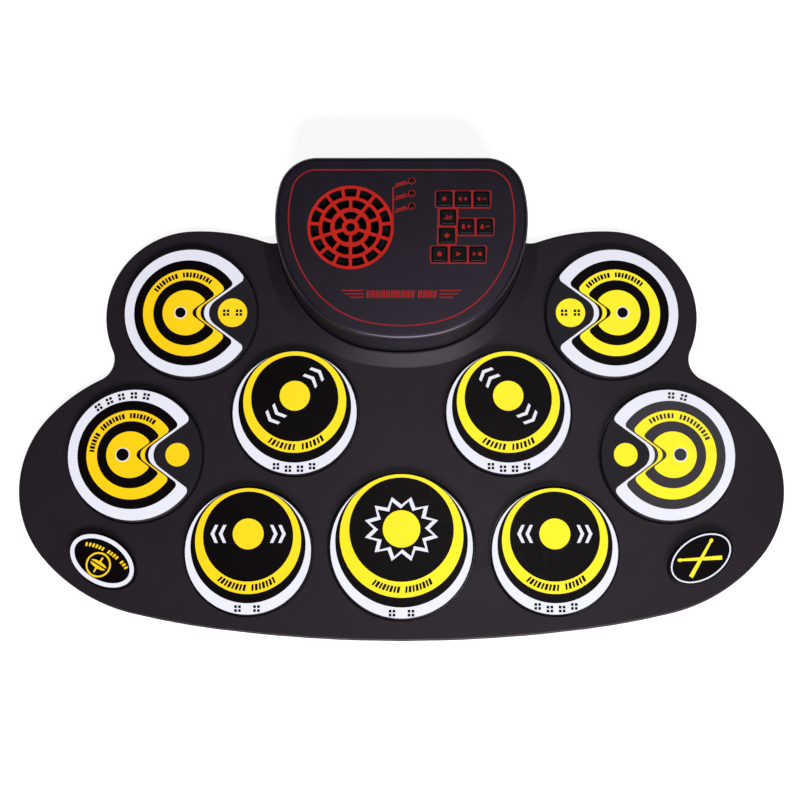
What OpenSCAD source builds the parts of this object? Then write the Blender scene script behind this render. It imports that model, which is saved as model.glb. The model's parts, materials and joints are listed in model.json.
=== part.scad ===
// Roll-up electronic drum pad: a two-layer silicone mat with ten strike pads,
// and a D-shaped control box with a speaker and ten keys on its rear edge.
// Millimetres, +Z up. The origin is under the centre of the whole object, on the table.
// +Y points away from the player, and the object is symmetric about X = 0 outside the box.

/* [Mat] */
// Widest dimension of the mat
mat_w = 460; // [456:1:470]
// Thickness of the bottom sheet
base_t = 1.2; // [1:0.1:1.6]
// Thickness of the top sheet
sheet_t = 3.4; // [3.2:0.1:4]
// Width of the ramped collar around the box
collar_w = 10; // [6:0.5:12]
// Height of the collar above the mat
collar_h = 3.4; // [2:0.2:4]

/* [Strike pads] */
// Radius of the tom and snare pads
drum_r = 38.2; // [34:0.1:39]
// Radius of the bass drum pad
bass_r = 43.5; // [38:0.1:45]
// Radius of the four cymbal pads
cymbal_r = 40.5; // [36:0.1:41]
// Half length of the small oval pad and of the oval badge
oval_a = 21.2; // [18:0.1:23]
// Half width of the small oval pad and of the oval badge
oval_b = 14; // [11:0.1:15]
// Height of the pads above the mat
pad_h = 4.8; // [3:0.2:6]
// How far a pad travels when it is struck
pad_travel = 1.2; // [0.6:0.1:1.3]
// Gap between a pad and its well
well_gap = 0.5; // [0.3:0.1:1]

/* [Control box] */
// Height of the box top above the table
box_h = 42; // [40:1:48]
// Radius of the rounded top edge
edge_r = 3; // [2:0.5:5]
// Wall thickness of the box
wall = 2.2; // [1.6:0.1:2.6]
// Thickness of the top plate
plate_t = 2.4; // [2:0.1:3]

/* [Keys] */
// Width of a square key cap
key_w = 8.8; // [8:0.1:9]
// How far a key stands above the box
key_proud = 1; // [0.5:0.1:1.5]
// How far a key travels
key_travel = 0.8; // [0.4:0.1:1]

/* [Speaker] */
// Outer radius of the outer row of grille openings
grille_r = 23.9; // [22:0.1:24]
// Width of the grille's ribs
rib_w = 2; // [1.6:0.1:2.4]
// How far the cone moves each way
cone_travel = 0.5; // [0.2:0.1:0.8]

/* [Hidden] */
$fn = 64;

slack = 0.05; // gap left between fixed neighbours
mat_z = base_t + sheet_t; // surface of the mat
pad_z = mat_z + pad_h; // top of the pads
plate_z = box_h - plate_t; // underside of the box's top plate
split_z = mat_z + collar_h + 1; // joint between the two halves of the case
rear_z = 1; // underside of the case behind the mat
step_y = 100.2; // where the case steps down behind the mat
front_floor_z = mat_z + wall;
rear_floor_z = rear_z + wall;

// The right half of the mat's edge: tangent arcs [radius, sweep], from the middle of the front edge.
// A negative radius is a hollow bend.
mat_front = [0, -143.05];
mat_arcs = [[859.8, 7.3], [488.9, 6], [104.2, 35.7], [64.3, 83.4], [101.9, 21.6], [-13.6, 88],
    [53.6, 111.1], [118.6, 23.5], [-14, 16.6]];
// The right half of the box's edge, from the middle of its front.
box_front = [0, 31.2];
box_arcs = [[105.7, 11], [63.9, 39.3], [79.9, 53.8], [23.3, 75.9]];

// Pads: [x, y] of each centre
crash_at = [128.4, 54.8];
hihat_at = [160, -32.5];
tom_at = [64.4, -6.5];
snare_at = [91.2, -90];
bass_at = [0, -87.3];
oval_pad_at = [-177.7, -96];
badge_at = [177.7, -94.5];
oval_tilt = 31.5; // the two ovals lean towards each other

// Pad sections
pad_edge_r = 1.4; // rounded rim
pad_edge_steps = 6;
skirt_t = 2.5; // wall that hangs from a pad's rim
pusher_r = 10; // boss that presses the sensor

// Sensor layers under the pads
membrane_t = 0.35;
membrane_edge = 9; // from the mat's edge
membrane_z = base_t + membrane_t;
sensor_r = 9;
sensor_t = 0.35;
pusher_z = membrane_z + sensor_t + pad_travel + 0.15;
skirt_z = membrane_z + pad_travel + 0.2;
cushion_z = mat_z - 0.15; // underside of a pad's disc, resting on its cushion

// Box top: [x, y] of each key's centre, the lamps and the speaker
key_at = [[25.5, 116.6], [36.6, 116.6], [47.8, 116.6], [27.7, 105.3], [26.9, 94],
    [38.4, 99.6], [49.6, 99.6], [22.5, 82.7], [33.7, 82.7], [44.9, 82.7]];
led_at = [[6.1, 128], [6.1, 120.1], [6.1, 112.3]];
led_r = 1.5;
led_foot_z = plate_z - 2.5;
speaker_at = [-30.3, 99.3];

// Keys and keypad
key_bevel = 0.7;
key_flange = 10.2;
key_flange_t = 0.9;
key_flange_z = plate_z - 0.1 - key_flange_t;
key_gap = 0.15;
board_t = 1.6;
key_board_z = 31.4;
key_board_at = [3, 76];
key_board_size = [57, 57, board_t];
keypad_z = key_board_z + board_t;
keypad_at = [16.8, 77];
keypad_size = [36.4, 46, 1];
dome_r = 3.4;
dome_wall = 0.8;
dome_top = keypad_z + 2.4 + key_travel;

// Speaker
speaker_screw_d = 28.4; // from the speaker's centre
speaker_flange_t = 1.5;
speaker_flange_z = plate_z - speaker_flange_t;
basket_h = 12;
magnet_t = 8;
magnet_gap_floor = 3;

// Rear panel: height of the socket centres above the table, and their places along X
rear_y = 143.05;
port_z = 12.6;
headphone_x = 0;
pedal_x = [-40, -22];
jack_bore_r = 1.85;
jack_nose_r = 3;
jack_depth = 14;
jack_body = 10;
usb_x = 21;
usb_w = 8.9;
usb_h = 3.2;
switch_x = 43;

// Main board and what stands on it
main_board_z = 6.6;
main_board_top = main_board_z + board_t;
main_board_w = 116;
main_board_depth = 34.4;
usb_z = main_board_top;
chips = [[-6, 114, 12, 12, 1.6], [14, 113, 8, 5, 1.4], [-46, 112, 6, 4, 1.4]]; // x, y, width, depth, height
capacitor_at = [[30, 116], [38, 116]];

// Ribbon from the sensor layer to the main board
ribbon_w = 14;
ribbon_t = 0.3;
ribbon_y = 87;
ribbon_top = main_board_top + 2.6;

battery_at = [-30, 62.5];
battery_size = [60, 22, 9];
strap_w = 10;
strap_t = 0.6;
wire_r = 0.6;

// Fasteners
case_post_at = [[57, 68], [58, 126]];
post_r = 3.5;
case_screw_r = 1.3;
clamp_screw_at = [30, 54];
clamp_size = [140, 52, 1];
clamp_y = 73;
main_screw_at = [[52, 108], [52, 132]];
key_screw_at = [[8, 84], [12, 129.5], [57, 112], [56.2, 87.5]];
small_post_r = 2.4;
small_screw_r = 1;
foot_at = [44, 122];
foot_r = 6;

silicone = [0.16, 0.14, 0.17];
abs_black = [0.13, 0.12, 0.15];
component = [0.1, 0.1, 0.1];
red = [0.76, 0.16, 0.14];
yellow = [1, 0.87, 0.13];
off_white = [0.91, 0.91, 0.96];
film = [0.2, 0.17, 0.15];
steel = [0.7, 0.71, 0.73];
green = [0.1, 0.36, 0.2];

// --- Outlines ---

// The point an arc [radius, sweep] leads to, after turning by t degrees from heading h at p
function arc_point(p, h, a, t) = let (s = sign(a[0]), r = abs(a[0]), k = h + s * t)
    [p[0] + s * r * (sin(k) - sin(h)), p[1] - s * r * (cos(k) - cos(h))];

// Points along a chain of arcs, about one every `every` degrees, leaving out the start
function chain(p, h, arcs, every, i = 0) = i == len(arcs) ? [] :
    let (a = arcs[i], n = max(2, ceil(a[1] / every)))
    concat([for (j = [1:n]) arc_point(p, h, a, a[1] * j / n)],
        chain(arc_point(p, h, a, a[1]), h + sign(a[0]) * a[1], arcs, every, i + 1));

// A closed outline, mirrored about X = 0, and moved inwards by d
function outline(start, arcs, d, every) =
    let (half = chain([start[0], start[1] + d], 0, [for (a = arcs) [a[0] - d, a[1]]], every),
        n = len(half))
    concat([[0, start[1] + d]], half, [for (i = [n - 1:-1:0]) [-half[i][0], half[i][1]]]);

// The mat's own outline is widened to mat_w
function mat_outline(d) = [for (p = outline(mat_front, mat_arcs, d, 3)) [p[0] * mat_w / 460, p[1]]];

function box_outline(d) = outline(box_front, box_arcs, d, 3);

function oval(d, n = 60) = [for (i = [0:n - 1])
    [(oval_a - d) * cos(i * 360 / n), (oval_b - d) * sin(i * 360 / n)]];

// Steps [inset, height] up a rounded edge of radius r whose top is at z
function rounded_edge(r, z, steps) = [for (i = [0:steps])
    let (a = i * 90 / steps)
    [r * (1 - cos(a)), z - r * (1 - sin(a))]];

// A solid through rings of equal point counts: each ring is [outline, height]
module loft(rings) {
    n = len(rings[0][0]);
    m = len(rings);
    polyhedron(
        points = [for (r = rings) for (p = r[0]) [p[0], p[1], r[1]]],
        faces = concat(
            [[for (i = [0:n - 1]) i]],
            [for (k = [0:m - 2]) for (i = [0:n - 1])
                [k * n + i, (k + 1) * n + i, (k + 1) * n + (i + 1) % n]],
            [for (k = [0:m - 2]) for (i = [0:n - 1])
                [k * n + i, (k + 1) * n + (i + 1) % n, k * n + (i + 1) % n]],
            [[for (i = [n - 1:-1:0]) (m - 1) * n + i]]
        )
    );
}

// --- Places ---

module both_sides() {
    children();
    mirror([1, 0, 0]) children();
}

module at_oval_pad() {
    translate(oval_pad_at) rotate(-oval_tilt) children();
}

module at_case_posts() {
    both_sides() for (p = case_post_at) translate(p) children();
}

module at_main_screws() {
    both_sides() for (p = main_screw_at) translate(p) children();
}

module at_key_screws() {
    for (p = key_screw_at) translate(p) children();
}

module at_keys() {
    for (p = key_at) translate(p) children();
}

module at_speaker_screws() {
    translate(speaker_at) for (i = [0:3]) rotate(45 + i * 90) translate([speaker_screw_d, 0]) children();
}

// A cylinder standing from z0 to z1
module rod(z0, z1, r) {
    translate([0, 0, z0]) cylinder(z1 - z0, r = r);
}

// A box centred on x = 0 and y = 0, from z0 to z1
module block(w, depth, z0, z1) {
    translate([-w / 2, -depth / 2, z0]) cube([w, depth, z1 - z0]);
}

// --- The mat ---

module pad_places(r_drum, r_bass, r_cymbal) {
    both_sides() {
        translate(crash_at) circle(r_cymbal);
        translate(hihat_at) circle(r_cymbal);
        translate(tom_at) circle(r_drum);
        translate(snare_at) circle(r_drum);
    }
    translate(bass_at) circle(r_bass);
}

// Holes for the screws that go through the mat into the box
module mat_screw_holes() {
    both_sides() {
        translate(clamp_screw_at) rod(-1, 2 * mat_z, case_screw_r + slack);
        translate(case_post_at[0]) rod(-1, 2 * mat_z, case_screw_r + slack);
    }
}

// The slot that lets the ribbon up into the box
module ribbon_slot() {
    translate([0, ribbon_y]) block(ribbon_w + 1, 2, -1, 20);
}

// An even ramp that rises to the box
module collar() {
    foot = box_outline(-collar_w);
    intersection() {
        difference() {
            loft([[foot, mat_z - 0.5], [foot, mat_z], [box_outline(-1.1), mat_z + collar_h]]);
            linear_extrude(2 * mat_z + collar_h) polygon(box_outline(-0.4));
        }
        linear_extrude(2 * mat_z + collar_h) polygon(mat_outline(0));
    }
}

module mat_top_sheet() color(silicone) {
    difference() {
        union() {
            translate([0, 0, base_t]) linear_extrude(sheet_t) polygon(mat_outline(0));
            collar();
        }
        translate([0, 0, base_t - 1])
            linear_extrude(1 + membrane_t + slack) polygon(mat_outline(membrane_edge));
        translate([0, 0, base_t]) linear_extrude(sheet_t + 1)
            pad_places(drum_r + well_gap, bass_r + well_gap, cymbal_r + well_gap);
        translate([0, 0, base_t]) linear_extrude(sheet_t + 1) at_oval_pad() polygon(oval(-well_gap));
        mat_screw_holes();
        ribbon_slot();
    }
}

module mat_base_sheet() color(silicone) {
    difference() {
        linear_extrude(base_t - 0.01) polygon(mat_outline(0));
        translate([0, clamp_y]) block(clamp_size[0] + 0.6, clamp_size[1] + 0.6, -1, base_t + 1);
    }
}

module sensor_membrane() color(film) {
    difference() {
        translate([0, 0, base_t]) linear_extrude(membrane_t) polygon(mat_outline(membrane_edge + 0.5));
        mat_screw_holes();
    }
}

module strike_sensors() color([0.85, 0.7, 0.3]) {
    translate([0, 0, membrane_z]) {
        linear_extrude(sensor_t) pad_places(sensor_r, sensor_r, sensor_r);
        linear_extrude(sensor_t) at_oval_pad() circle(oval_b / 2);
    }
}

// One foam ring under each pad, inside its skirt
module pad_cushions() color([0.3, 0.3, 0.32]) {
    edge = skirt_t + 1;
    inner = pusher_r + 2;
    translate([0, 0, membrane_z]) linear_extrude(cushion_z - membrane_z) {
        difference() {
            pad_places(drum_r - edge, bass_r - edge, cymbal_r - edge);
            pad_places(inner, inner, inner);
        }
        at_oval_pad() difference() {
            polygon(oval(2));
            circle(oval_b / 2 + 1);
        }
    }
}

// --- Strike pads ---

// A round pad: a disc with a rounded rim, a skirt and a pusher
module round_pad(at, r) {
    rim = [for (s = rounded_edge(pad_edge_r, pad_z, pad_edge_steps)) [r - s[0], s[1]]];
    translate(at) rotate_extrude() polygon(concat(
        [[0, pusher_z], [pusher_r, pusher_z], [pusher_r, cushion_z], [r - skirt_t, cushion_z],
            [r - skirt_t, skirt_z], [r, skirt_z]],
        rim,
        [[0, pad_z]]
    ));
}

function mirrored(at) = [-at[0], at[1]];

module crash_pad_left() color(off_white) round_pad(mirrored(crash_at), cymbal_r);

module crash_pad_right() color(off_white) round_pad(crash_at, cymbal_r);

module hihat_pad() color(off_white) round_pad(mirrored(hihat_at), cymbal_r);

module ride_pad() color(off_white) round_pad(hihat_at, cymbal_r);

module high_tom_pad() color(yellow) round_pad(mirrored(tom_at), drum_r);

module low_tom_pad() color(yellow) round_pad(tom_at, drum_r);

module snare_pad() color(yellow) round_pad(mirrored(snare_at), drum_r);

module floor_tom_pad() color(yellow) round_pad(snare_at, drum_r);

module bass_pad() color(yellow) round_pad(bass_at, bass_r);

// A low oval puck with a rounded rim
module oval_puck(z0) {
    loft(concat([[oval(0), z0]],
        [for (s = rounded_edge(pad_edge_r, pad_z, 4)) [oval(s[0]), s[1]]]));
}

module closed_hihat_pad() color(off_white) {
    at_oval_pad() {
        oval_puck(cushion_z);
        rod(pusher_z, pad_z - pad_edge_r, oval_b / 2 - 1);
    }
}

module oval_badge() color(abs_black) {
    translate(badge_at) rotate(oval_tilt) oval_puck(mat_z);
}

// --- The case ---

module grille_row(outer, inner, count, start) {
    difference() {
        circle(outer);
        circle(inner);
        for (i = [0:count - 1])
            rotate(start + i * 360 / count) translate([0, -rib_w / 2]) square([outer + 1, rib_w]);
    }
}

// Three rows of openings around a centre hole
module grille() {
    k = grille_r / 23.9;
    circle(2.65 * k);
    grille_row(9.6 * k, 5.2 * k, 5, 54);
    grille_row(16.9 * k, 12.1 * k, 10, 18);
    grille_row(grille_r, 19 * k, 15, 6);
}

module case_shell() {
    loft(concat([[box_outline(0), split_z]],
        [for (s = rounded_edge(edge_r, box_h, 6)) [box_outline(s[0]), s[1]]]));
}

// Openings in the rear wall for the sockets and the switch
module rear_openings() {
    for (x = concat(pedal_x, [headphone_x]))
        translate([x, rear_y + 1, port_z]) rotate([90, 0, 0]) cylinder(2 * wall + 2, r = jack_nose_r + slack);
    translate([usb_x, rear_y - 1]) block(usb_w + 0.3, 8, usb_z - 0.15, usb_z + usb_h + 0.15);
    translate([switch_x, rear_y - 1]) block(10, 8, port_z - 1.7, port_z + 1.7);
    translate([switch_x, rear_y + 0.5]) block(14, 3, port_z - 3, port_z + 3);
}

// Screw posts under the top plate
module top_posts() {
    at_case_posts() rod(split_z, plate_z + 1, post_r);
    at_key_screws() rod(keypad_z, plate_z + 1, small_post_r);
    at_speaker_screws() rod(speaker_flange_z, plate_z + 1, small_post_r);
}

module top_post_bores() {
    at_case_posts() rod(split_z - 1, split_z + 17, case_screw_r + slack);
    at_key_screws() rod(keypad_z - 1, keypad_z + 5, small_screw_r + slack);
    at_speaker_screws() rod(speaker_flange_z - 1, speaker_flange_z + 3, small_screw_r + slack);
}

module case_top() color(abs_black) {
    hole_w = key_w + 2 * key_gap;
    difference() {
        union() {
            difference() {
                case_shell();
                translate([0, 0, split_z - 1]) linear_extrude(plate_z - split_z + 1) polygon(box_outline(wall));
            }
            top_posts();
        }
        top_post_bores();
        translate([speaker_at[0], speaker_at[1], plate_z - 1]) linear_extrude(plate_t + 2) grille();
        at_keys() block(hole_w, hole_w, plate_z - 1, box_h + 1);
        for (p = led_at) translate(p) rod(plate_z - 1, box_h + 1, led_r + slack);
        rear_openings();
    }
}

// The part of an outline behind the step
module behind_step(d, y) {
    intersection() {
        polygon(box_outline(d));
        translate([-100, y]) square([200, 100]);
    }
}

module base_tray() {
    difference() {
        union() {
            translate([0, 0, mat_z]) linear_extrude(split_z - mat_z) polygon(box_outline(0));
            translate([0, 0, rear_z]) linear_extrude(split_z - rear_z) behind_step(0, step_y);
        }
        translate([0, 0, front_floor_z]) linear_extrude(split_z) polygon(box_outline(wall));
        translate([0, 0, rear_floor_z]) linear_extrude(split_z) behind_step(wall, step_y + wall);
    }
}

module case_base() color(abs_black) {
    clamp_post_top = mat_z + 9;
    screw_seat_z = rear_z + 1.6;
    difference() {
        union() {
            base_tray();
            both_sides() {
                translate(case_post_at[0]) rod(mat_z, split_z, post_r);
                translate(case_post_at[1]) rod(rear_z, split_z, post_r);
                translate(clamp_screw_at) rod(mat_z, clamp_post_top, post_r);
            }
            at_main_screws() rod(rear_z, main_board_z, 3);
        }
        at_case_posts() rod(0, split_z + 1, case_screw_r + slack);
        both_sides() {
            translate(case_post_at[1]) rod(0, screw_seat_z, 2.9);
            translate(clamp_screw_at) rod(0, clamp_post_top - 2, case_screw_r + slack);
        }
        at_main_screws() rod(rear_floor_z, split_z, small_screw_r + slack);
        ribbon_slot();
        rear_openings();
    }
}

// --- Keys ---

module key(i) {
    top = box_h + key_proud;
    inner_w = key_w - 2 * key_bevel;
    translate(key_at[i]) {
        hull() {
            block(key_w, key_w, plate_z - 0.1, top - key_bevel);
            block(inner_w, inner_w, top - 1, top);
        }
        block(key_flange, key_flange, key_flange_z, key_flange_z + key_flange_t);
        rod(dome_top, key_flange_z + 0.5, 2);
    }
}

module demo_key() color(abs_black) key(0);

module volume_up_key() color(abs_black) key(1);

module volume_down_key() color(abs_black) key(2);

module rhythm_key() color(abs_black) key(3);

module style_key() color(abs_black) key(4);

module tempo_up_key() color(abs_black) key(5);

module tempo_down_key() color(abs_black) key(6);

module record_key() color(abs_black) key(7);

module play_key() color(abs_black) key(8);

module start_stop_key() color(abs_black) key(9);

// A silicone sheet with a hollow dome under each key
module silicone_keypad() color([0.8, 0.8, 0.82]) {
    hollow_top = dome_top - dome_wall;
    difference() {
        union() {
            translate([keypad_at[0], keypad_at[1], keypad_z]) cube(keypad_size);
            at_keys() translate([0, 0, keypad_z])
                cylinder(dome_top - keypad_z, r1 = dome_r + dome_wall, r2 = dome_r - dome_wall);
        }
        at_keys() translate([0, 0, keypad_z - 1])
            cylinder(hollow_top - keypad_z + 1, r1 = dome_r, r2 = dome_r - 1.4);
    }
}

module key_board() color(green) {
    difference() {
        translate([key_board_at[0], key_board_at[1], key_board_z]) cube(key_board_size);
        at_key_screws() rod(0, box_h, small_screw_r + slack);
        translate(case_post_at[1]) rod(0, box_h, post_r + 0.5);
    }
}

// A pan-head screw pointing up: the underside of its head is at height z
module screw(z, r, head_r, head_t, length) {
    rod(z - head_t, z, head_r);
    rod(z - 0.01, z + length, r);
}

module key_board_screws() color(steel) {
    at_key_screws() screw(key_board_z, small_screw_r, 1.9, 1.2, 6);
}

// Round lamps: a shaft with a domed tip, a collar and two legs
module status_leds() color([0.35, 0.05, 0.05]) {
    for (p = led_at) translate(p) {
        rod(led_foot_z, box_h - 0.3, led_r);
        translate([0, 0, box_h - 0.3]) intersection() {
            sphere(led_r);
            cylinder(led_r, r = led_r);
        }
        rod(led_foot_z, led_foot_z + 1, led_r + 0.4);
        for (s = [-1, 1]) translate([s * 0.8, 0]) rod(keypad_z, led_foot_z + 0.5, 0.25);
    }
}

// --- Speaker ---

module speaker_frame() color(steel) {
    basket_z = speaker_flange_z - basket_h;
    floor_t = 1.2;
    translate(speaker_at) difference() {
        union() {
            rod(speaker_flange_z, plate_z, 25.6);
            translate([0, 0, basket_z]) cylinder(basket_h, r1 = 16, r2 = 23);
            translate([14, 6, speaker_flange_z - 7]) cube([9, 6, 1.2]);
        }
        translate([0, 0, basket_z + floor_t]) cylinder(basket_h - floor_t, r1 = 15, r2 = 21.8);
        rod(speaker_flange_z - 0.1, box_h, 22.2);
        rod(0, box_h, 7.4);
    }
}

module speaker_magnet() color([0.25, 0.25, 0.27]) {
    translate([speaker_at[0], speaker_at[1], speaker_flange_z - basket_h - magnet_t]) difference() {
        cylinder(magnet_t, r = 15);
        difference() {
            rod(magnet_gap_floor, magnet_t + 1, 7.2);
            rod(0, magnet_t + 2, 5.4);
        }
    }
}

// A cone with a round cap and the former of its coil, which dips into the magnet's gap
module speaker_cone() color([0.12, 0.12, 0.13]) {
    former_end = -basket_h - magnet_t + magnet_gap_floor + 2 + cone_travel;
    translate([speaker_at[0], speaker_at[1], speaker_flange_z]) rotate_extrude() polygon([
        [0, -4.2], [3, -4.5], [6, -6.1], [6.6, -8], [6, -8], [6, former_end], [6.7, former_end], [6.7, -8.5],
        [18.8, -0.7], [18.8, 0.1], [7.2, -6.2], [6.4, -5.4], [3.2, -3.6], [0, -3.2]]);
}

module speaker_surround() color(component) {
    translate([speaker_at[0], speaker_at[1], speaker_flange_z]) rotate_extrude()
        polygon([[18.85, -0.5], [22.15, 0], [22.15, 0.5], [20.5, 1.1], [18.85, 0.3]]);
}

module speaker_screws() color(steel) {
    at_speaker_screws() screw(speaker_flange_z, small_screw_r, 3.6, 1.2, 2.8);
}

// --- Electronics ---

module main_board() color(green) {
    difference() {
        translate([0, step_y + wall + 1.6 + main_board_depth / 2])
            block(main_board_w, main_board_depth, main_board_z, main_board_top);
        at_main_screws() rod(0, 20, small_screw_r + slack);
        both_sides() translate(case_post_at[1]) rod(0, 20, post_r + 0.6);
    }
}

module main_board_screws() color(steel) {
    at_main_screws() {
        rod(main_board_top, main_board_top + 1.2, 1.9);
        rod(main_board_top - 4.4, main_board_top + 0.1, small_screw_r);
    }
}

module board_chips() color([0.08, 0.08, 0.09]) {
    for (c = chips) translate([c[0], c[1], main_board_top]) cube([c[2], c[3], c[4]]);
    for (p = capacitor_at) translate(p) rod(main_board_top, main_board_top + 6, 3);
}

// A 3.5 mm socket: a square body with a round nose in the rear wall, bored through to its contacts
module jack(x) {
    difference() {
        union() {
            translate([x, rear_y - wall - 0.1 - jack_body / 2])
                block(9, jack_body, main_board_top, 2 * port_z - main_board_top);
            translate([x, rear_y, port_z]) rotate([90, 0, 0]) cylinder(wall + 0.2, r = jack_nose_r);
        }
        translate([x, rear_y + 1, port_z]) rotate([90, 0, 0]) cylinder(jack_depth + 2, r = jack_bore_r);
    }
}

module headphone_jack() color(component) jack(headphone_x);

module pedal_jacks() color(component) {
    for (x = pedal_x) jack(x);
}

module usb_socket() color(steel) {
    depth = 7.3;
    shell_t = 0.35;
    difference() {
        translate([usb_x, rear_y - 0.2 - depth / 2]) block(usb_w, depth, usb_z, usb_z + usb_h);
        translate([usb_x, rear_y + 0.8 - depth / 2])
            block(usb_w - 2 * shell_t, depth, usb_z + shell_t, usb_z + usb_h - shell_t);
    }
}

module power_switch_body() color(steel) {
    depth = 5;
    difference() {
        translate([switch_x, rear_y - wall - 0.1 - depth / 2])
            block(13, depth, main_board_top, main_board_top + 8);
        translate([switch_x, rear_y - wall - 1]) block(7.2, 4, port_z - 1.6, port_z + 1.6);
    }
}

// The slider fills the left part of its slot when the switch is off
module power_switch_slider() color(component) {
    length = wall + 2.8;
    translate([switch_x - 1.5, rear_y - 0.1 - length / 2]) block(4, length, port_z - 1.5, port_z + 1.5);
}

module battery_pack() color([0.2, 0.35, 0.6]) {
    translate([battery_at[0], battery_at[1], front_floor_z]) cube(battery_size);
}

module battery_strap() color([0.85, 0.85, 0.8]) {
    inner_depth = battery_size[1] + 0.04;
    inner_top = front_floor_z + battery_size[2] + 0.02;
    translate([0, battery_at[1] + battery_size[1] / 2]) difference() {
        block(strap_w, inner_depth + 2 * strap_t, front_floor_z, inner_top + strap_t);
        block(strap_w + 2, inner_depth, front_floor_z - 1, inner_top);
    }
}

module ribbon_connector() color(off_white) {
    difference() {
        translate([0, step_y + wall + 4.4]) block(ribbon_w + 3, 4, main_board_top, main_board_top + 4);
        translate([0, step_y + wall + 2.5])
            block(ribbon_w + 0.2, 5, ribbon_top - ribbon_t - 0.1, ribbon_top + 0.1);
    }
}

// A flat flexible tail that rises from the membrane and runs back to the connector
module ribbon_tail() color(film) {
    end_y = step_y + wall + 4.8;
    translate([-ribbon_w / 2, 0, 0]) rotate([90, 0, 90]) linear_extrude(ribbon_w) polygon([
        [ribbon_y - ribbon_t / 2, membrane_z], [ribbon_y + ribbon_t / 2, membrane_z],
        [ribbon_y + ribbon_t / 2, ribbon_top - ribbon_t], [end_y, ribbon_top - ribbon_t],
        [end_y, ribbon_top], [ribbon_y - ribbon_t / 2, ribbon_top]]);
}

// --- Fixings ---

module mat_clamp_plate() color(steel) {
    difference() {
        translate([0, clamp_y]) block(clamp_size[0], clamp_size[1], base_t - clamp_size[2], base_t);
        mat_screw_holes();
    }
}

module mat_clamp_screws() color(steel) {
    both_sides() translate(clamp_screw_at) rod(0.1, 10.1, case_screw_r);
}

module case_screws() color(steel) {
    both_sides() {
        translate(case_post_at[0]) rod(0.1, 20.1, case_screw_r);
        translate(case_post_at[1]) screw(rear_z + 1.6, case_screw_r, 2.8, 1.4, 16);
    }
}

module rubber_feet() color([0.08, 0.08, 0.08]) {
    both_sides() translate(foot_at) rod(0, rear_z, foot_r);
}

// Round wire through a list of points, in straight runs with ball corners
module wire(points) {
    for (i = [0:len(points) - 2]) {
        d = points[i + 1] - points[i];
        translate(points[i]) rotate([0, acos(d[2] / norm(d)), atan2(d[1], d[0])]) cylinder(norm(d), r = wire_r);
    }
    for (i = [1:len(points) - 2]) translate(points[i]) sphere(wire_r);
}

module speaker_leads() color(red) {
    x = speaker_at[0] + 20;
    for (y = [speaker_at[1] + 7.5, speaker_at[1] + 10.5])
        wire([[x, y, main_board_top], [x, y, speaker_flange_z - 7]]);
}

module battery_leads() color(red) {
    end_y = battery_at[1] + battery_size[1];
    for (x = [22, 25]) wire([[x, end_y, 12], [x, 108, 12], [x, 108, main_board_top]]);
}

mat_top_sheet();
mat_base_sheet();
sensor_membrane();
strike_sensors();
pad_cushions();
crash_pad_left();
crash_pad_right();
hihat_pad();
ride_pad();
high_tom_pad();
low_tom_pad();
snare_pad();
bass_pad();
floor_tom_pad();
closed_hihat_pad();
oval_badge();
case_top();
case_base();
demo_key();
volume_up_key();
volume_down_key();
rhythm_key();
style_key();
tempo_up_key();
tempo_down_key();
record_key();
play_key();
start_stop_key();
silicone_keypad();
key_board();
key_board_screws();
status_leds();
speaker_frame();
speaker_magnet();
speaker_cone();
speaker_surround();
speaker_screws();
main_board();
board_chips();
main_board_screws();
headphone_jack();
pedal_jacks();
usb_socket();
power_switch_body();
power_switch_slider();
battery_pack();
battery_strap();
ribbon_connector();
ribbon_tail();
mat_clamp_plate();
mat_clamp_screws();
case_screws();
rubber_feet();
speaker_leads();
battery_leads();
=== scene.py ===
import json
import math

import bmesh
import bpy
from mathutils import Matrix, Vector


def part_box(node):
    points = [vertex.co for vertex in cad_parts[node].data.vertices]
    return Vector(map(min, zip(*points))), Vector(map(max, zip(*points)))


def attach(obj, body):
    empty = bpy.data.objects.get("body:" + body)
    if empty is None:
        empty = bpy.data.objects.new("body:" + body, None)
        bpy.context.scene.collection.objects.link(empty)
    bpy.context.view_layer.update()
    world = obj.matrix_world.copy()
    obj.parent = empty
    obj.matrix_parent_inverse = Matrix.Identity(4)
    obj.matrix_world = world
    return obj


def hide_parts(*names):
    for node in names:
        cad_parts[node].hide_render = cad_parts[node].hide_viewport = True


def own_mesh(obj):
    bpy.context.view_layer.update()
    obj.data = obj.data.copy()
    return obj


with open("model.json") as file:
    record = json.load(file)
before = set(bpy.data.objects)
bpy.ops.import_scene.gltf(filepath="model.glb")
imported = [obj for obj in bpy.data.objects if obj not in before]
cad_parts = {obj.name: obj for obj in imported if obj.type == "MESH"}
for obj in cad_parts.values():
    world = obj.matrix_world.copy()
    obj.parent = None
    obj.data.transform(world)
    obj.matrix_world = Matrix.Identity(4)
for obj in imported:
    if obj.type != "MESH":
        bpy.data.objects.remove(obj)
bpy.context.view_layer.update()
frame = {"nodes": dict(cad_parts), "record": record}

# A roll-up electronic drum pad: silicone mat, printed strike pads and a control box.
# Lengths are millimetres, turned into metres when a vertex is made. Lights are in metres and watts.
MM = 0.001
COLLECTION = bpy.context.scene.collection


# ---------------------------------------------------------------- frame sizes

def node_box(node):
    """A CAD node's lowest and highest corners, in millimetres."""
    low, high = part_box(node)
    return low / MM, high / MM


def node_centre(node):
    low, high = node_box(node)
    return (low + high) / 2


def pad_radius(node):
    low, high = node_box(node)
    return (high.x - low.x) / 2


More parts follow.
